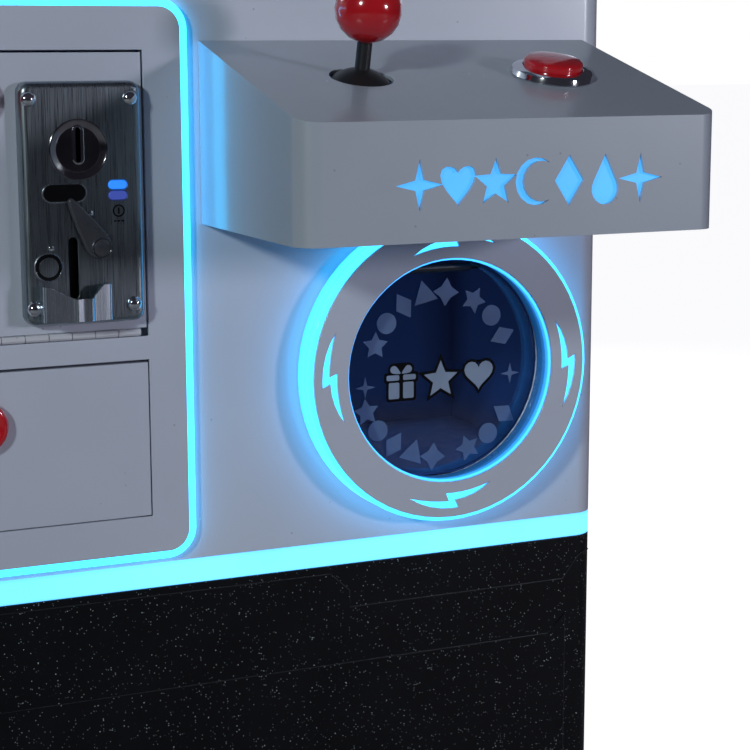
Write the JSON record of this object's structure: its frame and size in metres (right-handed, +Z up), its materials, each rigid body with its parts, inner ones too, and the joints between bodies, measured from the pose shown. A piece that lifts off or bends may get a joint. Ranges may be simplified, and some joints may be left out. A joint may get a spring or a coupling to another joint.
{
  "type": "claw crane machine",
  "caption": "Tall cabinet with a glass chamber, a claw on a travelling gantry, a joystick box, a coin panel and a round lit prize door.",
  "frame": {"origin": "centre of the overall box, on the floor under the levelling feet", "axes": "+Z up; the player stands on the -Y side, where the control box stands out; +X to the player's right"},
  "size_m": [0.53, 0.665, 1.58],
  "materials": {
    "foot_rubber": "matte",
    "black_cabinet_paint": "gloss with fine glitter",
    "light_diffuser": "lit milky acrylic",
    "marquee_film": "lit printed acrylic",
    "white_paint": "gloss",
    "panel_paint": "satin",
    "inlet_plastic": "satin",
    "zinc_steel": "zinc plated",
    "coin_plate_steel": "vertical brush",
    "coin_mech_plastic": "moulded",
    "polished_chrome": "polished",
    "red_plastic": "gloss",
    "lock_plug_metal": "satin",
    "clear_flap": "clear acrylic, printed",
    "clear_glass": "clear",
    "navy_plastic": "satin",
    "joystick_plastic": "satin",
    "gimbal_steel": "turned",
    "play_surface": "satin",
    "printed_back": "printed sheet",
    "hoist_cord": "braided cord"
  },
  "bodies": {
    "cabinet": {"foot_front_left": "foot_rubber", "foot_front_right": "foot_rubber", "foot_rear_left": "foot_rubber", "foot_rear_right": "foot_rubber", "base_cabinet": "black_cabinet_paint", "light_skirt": "light_diffuser", "lower_body": "white_paint", "power_inlet": "inlet_plastic", "coin_panel": "panel_paint", "coin_panel_light": "light_diffuser", "coin_hinge_fixed_leaf": "zinc_steel", "cash_bin": "zinc_steel", "prize_ring_face": "panel_paint", "prize_ring_light": "light_diffuser", "prize_box": "navy_plastic", "control_box": "panel_paint", "control_box_light": "light_diffuser", "joystick_base": "joystick_plastic", "button_bezel": "polished_chrome", "playfield": "play_surface", "chute_guard": "clear_glass", "left_frame": "white_paint", "right_frame": "white_paint", "left_glass": "clear_glass", "right_glass": "clear_glass", "back_panel": "printed_back", "top_box": "white_paint", "marquee_panel": "marquee_film", "gantry_frame": "zinc_steel"},
    "base_door": {"base_door": "black_cabinet_paint"},
    "service_door": {"service_door": "white_paint"},
    "power_switch": {"power_switch": "inlet_plastic"},
    "coin_door": {"coin_door": "panel_paint", "coin_hinge_door_leaf": "zinc_steel", "coin_plate_left": "coin_plate_steel", "coin_plate_right": "coin_plate_steel", "coin_selector_left": "coin_mech_plastic", "coin_selector_right": "coin_mech_plastic"},
    "coin_door_lock": {"coin_door_lock": "red_plastic"},
    "coin_return_left": {"coin_return_lever_left": "polished_chrome"},
    "coin_return_right": {"coin_return_lever_right": "polished_chrome"},
    "cash_door": {"cash_door": "panel_paint", "cash_lock_collar": "red_plastic"},
    "cash_lock": {"cash_lock_plug": "lock_plug_metal"},
    "prize_flap": {"prize_flap": "clear_flap"},
    "joystick_gimbal": {"joystick_gimbal": "gimbal_steel"},
    "joystick": {"joystick_shaft": "joystick_plastic", "joystick_ball": "red_plastic"},
    "grab_button": {"grab_button": "red_plastic"},
    "front_door": {"front_door_frame": "white_paint", "front_door_glass": "clear_glass"},
    "bridge": {"bridge": "zinc_steel"},
    "trolley": {"trolley": "joystick_plastic", "hoist_line": "hoist_cord"},
    "winch": {"winch_drum": "gimbal_steel"},
    "claw": {"claw_housing": "polished_chrome"},
    "claw_plunger": {"claw_plunger": "gimbal_steel"},
    "finger_1": {"claw_finger_1": "polished_chrome"},
    "finger_2": {"claw_finger_2": "polished_chrome"},
    "finger_3": {"claw_finger_3": "polished_chrome"}
  },
  "joints": [
    {"name": "base_door_hinge", "type": "hinge", "parent": "cabinet", "child": "base_door", "pos_m": [0.202, 0.3315, 0.256], "axis": [0, 0, -1], "range_deg": [0, 110]},
    {"name": "service_door_hinge", "type": "hinge", "parent": "cabinet", "child": "service_door", "pos_m": [0.162, 0.3315, 0.665], "axis": [0, 0, -1], "range_deg": [0, 110]},
    {"name": "power_switch_rocker", "type": "hinge", "parent": "cabinet", "child": "power_switch", "pos_m": [-0.187, 0.3242, 0.53], "axis": [1, 0, 0], "range_deg": [0, 16]},
    {"name": "coin_door_hinge", "type": "hinge", "parent": "cabinet", "child": "coin_door", "pos_m": [-0.1162, -0.194, 0.6268], "axis": [1, 0, 0], "range_deg": [0, 95]},
    {"name": "coin_door_lock_turn", "type": "hinge", "parent": "coin_door", "child": "coin_door_lock", "pos_m": [-0.1162, -0.1875, 0.754], "axis": [0, -1, 0], "range_deg": [0, 90]},
    {"name": "coin_return_left_turn", "type": "hinge", "parent": "coin_door", "child": "coin_return_left", "pos_m": [-0.1659, -0.2075, 0.6751], "axis": [0, -1, 0], "range_deg": [0, 20], "stiffness_Nm_per_rad": 0.05, "springref_deg": -20.05},
    {"name": "coin_return_right_turn", "type": "hinge", "parent": "coin_door", "child": "coin_return_right", "pos_m": [-0.0517, -0.2075, 0.6751], "axis": [0, -1, 0], "range_deg": [0, 20], "stiffness_Nm_per_rad": 0.05, "springref_deg": -20.05},
    {"name": "cash_door_hinge", "type": "hinge", "parent": "cabinet", "child": "cash_door", "pos_m": [-0.1162, -0.1935, 0.5267], "axis": [1, 0, 0], "range_deg": [0, 90]},
    {"name": "cash_lock_turn", "type": "hinge", "parent": "cash_door", "child": "cash_lock", "pos_m": [-0.1162, -0.1875, 0.582], "axis": [0, -1, 0], "range_deg": [0, 90]},
    {"name": "prize_flap_hinge", "type": "hinge", "parent": "cabinet", "child": "prize_flap", "pos_m": [0.1553, -0.188, 0.6518], "axis": [1, 0, 0], "range_deg": [0, 70]},
    {"name": "joystick_fore_aft", "type": "hinge", "parent": "cabinet", "child": "joystick_gimbal", "pos_m": [0.075, -0.2551, 0.74634], "axis": [1, 0, 0], "range_deg": [-15, 15], "stiffness_Nm_per_rad": 0.8},
    {"name": "joystick_left_right", "type": "hinge", "parent": "joystick_gimbal", "child": "joystick", "pos_m": [0.075, -0.2551, 0.74634], "axis": [0, 0.9659, 0.2588], "range_deg": [-15, 15], "stiffness_Nm_per_rad": 0.8},
    {"name": "grab_button_press", "type": "slide", "parent": "cabinet", "child": "grab_button", "axis": [0, 0.2588, -0.9659], "range_m": [0, 0.004], "stiffness_N_per_m": 300, "springref_m": -0.004},
    {"name": "front_door_hinge", "type": "hinge", "parent": "cabinet", "child": "front_door", "pos_m": [-0.24, -0.1865, 1.122], "axis": [0, 0, -1], "range_deg": [0, 110]},
    {"name": "bridge_travel", "type": "slide", "parent": "cabinet", "child": "bridge", "axis": [0, 1, 0], "range_m": [0, 0.33]},
    {"name": "trolley_travel", "type": "slide", "parent": "bridge", "child": "trolley", "axis": [-1, 0, 0], "range_m": [0, 0.325]},
    {"name": "winch_spin", "type": "hinge", "parent": "trolley", "child": "winch", "pos_m": [0.155, -0.112, 1.44], "axis": [1, 0, 0], "range_deg": [-1900, 0]},
    {"name": "claw_drop", "type": "slide", "parent": "trolley", "child": "claw", "axis": [0, 0, -1], "range_m": [0, 0.395], "deforming": ["hoist_line"]},
    {"name": "claw_grip", "type": "slide", "parent": "claw", "child": "claw_plunger", "axis": [0, 0, 1], "range_m": [0, 0.0043]},
    {"name": "finger_1_hinge", "type": "hinge", "parent": "claw", "child": "finger_1", "pos_m": [0.155, -0.08, 1.292], "axis": [-1, 0, 0], "range_deg": [0, 22]},
    {"name": "finger_2_hinge", "type": "hinge", "parent": "claw", "child": "finger_2", "pos_m": [0.13768, -0.11, 1.292], "axis": [0.5, -0.866, 0], "range_deg": [0, 22]},
    {"name": "finger_3_hinge", "type": "hinge", "parent": "claw", "child": "finger_3", "pos_m": [0.17232, -0.11, 1.292], "axis": [0.5, 0.866, 0], "range_deg": [0, 22]}
  ],
  "couplings": [
    {"joint": "winch_spin", "follows": "claw_drop", "rad_per_m": -83.333},
    {"joint": "finger_1_hinge", "follows": "claw_grip", "rad_per_m": 89},
    {"joint": "finger_2_hinge", "follows": "claw_grip", "rad_per_m": 89},
    {"joint": "finger_3_hinge", "follows": "claw_grip", "rad_per_m": 89}
  ]
}
